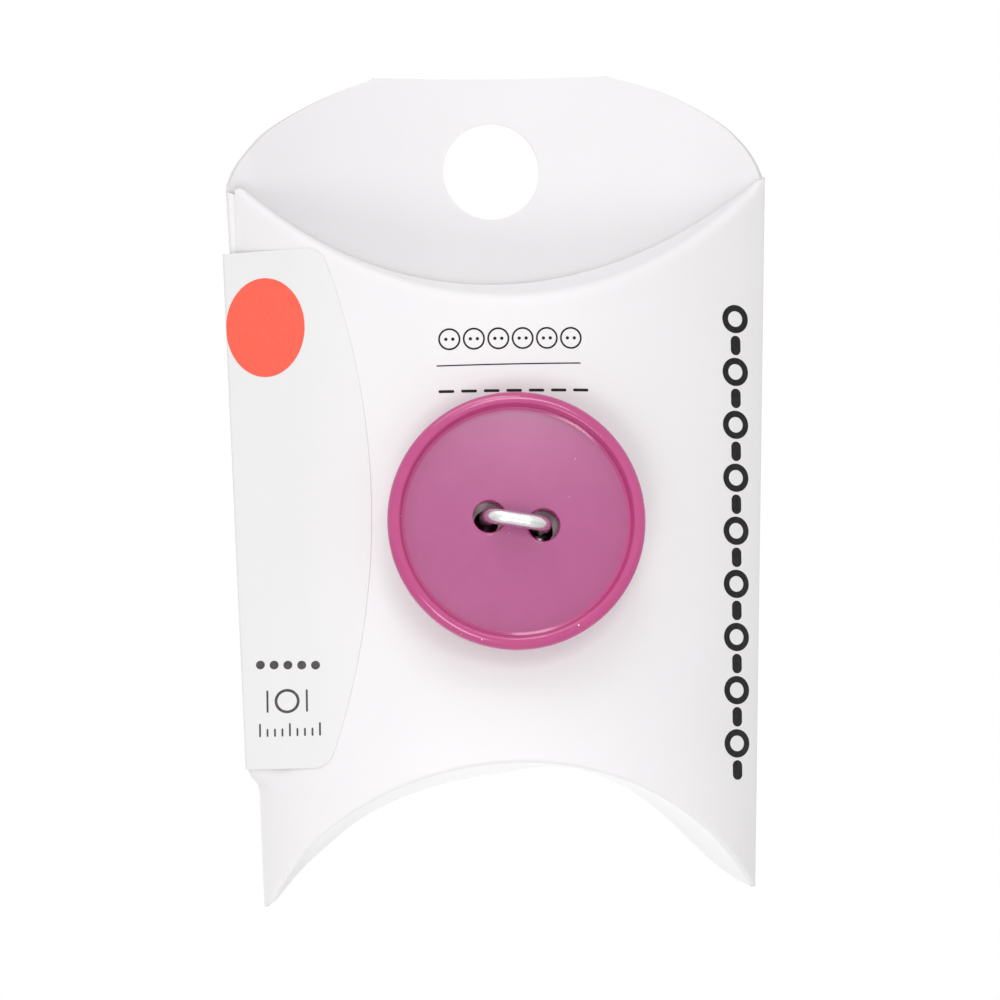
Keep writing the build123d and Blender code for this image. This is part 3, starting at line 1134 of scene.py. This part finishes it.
def white_world(level):
    world = bpy.data.worlds.new("studio")
    bpy.context.scene.world = world
    world.use_nodes = True
    tree = world.node_tree
    background = tree.nodes["Background"]
    background.inputs["Color"].default_value = (1, 1, 1, 1)
    path = add_node(tree, "ShaderNodeLightPath")
    seen = add_node(tree, "ShaderNodeMath", operation="MAXIMUM")
    tree.links.new(path.outputs["Is Camera Ray"], seen.inputs[0])
    tree.links.new(path.outputs["Is Glossy Ray"], seen.inputs[1])
    clear = add_node(tree, "ShaderNodeMath", operation="MAXIMUM")
    tree.links.new(seen.outputs[0], clear.inputs[0])
    tree.links.new(path.outputs["Is Transmission Ray"], clear.inputs[1])
    strength = add_node(tree, "ShaderNodeMapRange")
    strength.inputs["To Min"].default_value = level
    strength.inputs["To Max"].default_value = 1
    tree.links.new(clear.outputs[0], strength.inputs["Value"])
    tree.links.new(strength.outputs["Result"], background.inputs["Strength"])


def area_lamp(name, place, target, size, power):
    lamp = bpy.data.lights.new(name, "AREA")
    lamp.shape = "DISK"
    lamp.size = size
    lamp.energy = power
    made = bpy.data.objects.new(name, lamp)
    made.location = place
    made.rotation_euler = (Vector(target) - Vector(place)).to_track_quat("-Z", "Y").to_euler()
    bpy.context.scene.collection.objects.link(made)


def sky_lamp(name, azimuth, elevation, spread, strength):
    """A far, broad lamp, placed by its angles to the right of the front and above it."""
    lamp = bpy.data.lights.new(name, "SUN")
    lamp.angle = math.radians(spread)
    lamp.energy = strength
    made = bpy.data.objects.new(name, lamp)
    across, above = math.radians(azimuth), math.radians(elevation)
    toward = Vector((
        math.sin(across) * math.cos(above), -math.cos(across) * math.cos(above), math.sin(above)))
    made.rotation_euler = (-toward).to_track_quat("-Z", "Y").to_euler()
    bpy.context.scene.collection.objects.link(made)


stage_floor()
white_world(0.63)
sky_lamp("high", -30, 60, 32, 0.5)
area_lamp("sheen", (0.08, -0.92, 0.37), CENTRE, 0.28, 1.1)
area_lamp("spark", (-0.01, -0.56, 0.63), CENTRE, 0.22, 0.62)
area_lamp("fill", (-0.05, -0.22, -0.11), BOTTOM_EDGE, 0.08, 0.095)
area_lamp("below", (0.0, 0.10, -0.145), BOTTOM_EDGE, 0.14, 0.076)


# Camera

CAMERA_YAW = -4.3
CAMERA_LIFT = -3.0
CAMERA_ROLL = -1.0
CAMERA_DISTANCE = 450.0
CAMERA_TARGET = (-0.354, 0.0, -27.076)
CAMERA_SENSOR = 36
CAMERA_LENS = 204.2


def place_camera():
    yaw, lift, roll = (math.radians(angle) for angle in (CAMERA_YAW, CAMERA_LIFT, CAMERA_ROLL))
    right = np.array([math.cos(yaw), -math.sin(yaw), 0])
    back = np.array([math.sin(yaw) * math.cos(lift), math.cos(yaw) * math.cos(lift), math.sin(lift)])
    up = np.array([-math.sin(yaw) * math.sin(lift), -math.cos(yaw) * math.sin(lift), math.cos(lift)])
    turned_right = math.cos(roll) * right + math.sin(roll) * up
    turned_up = -math.sin(roll) * right + math.cos(roll) * up
    axes = [Vector((v[0], -v[1], v[2])) for v in (turned_right, turned_up, back)]
    eye = to_world((np.array(CAMERA_TARGET) + CAMERA_DISTANCE * back)[None, :])[0]
    lens = bpy.data.cameras.new("camera")
    lens.sensor_width = CAMERA_SENSOR
    lens.lens = CAMERA_LENS
    lens.clip_start = 0.01
    made = bpy.data.objects.new("camera", lens)
    made.matrix_world = Matrix.Translation(Vector(eye)) @ Matrix(axes).transposed().to_4x4()
    bpy.context.scene.collection.objects.link(made)
    bpy.context.scene.camera = made


place_camera()
bpy.context.scene.view_settings.view_transform = "Standard"
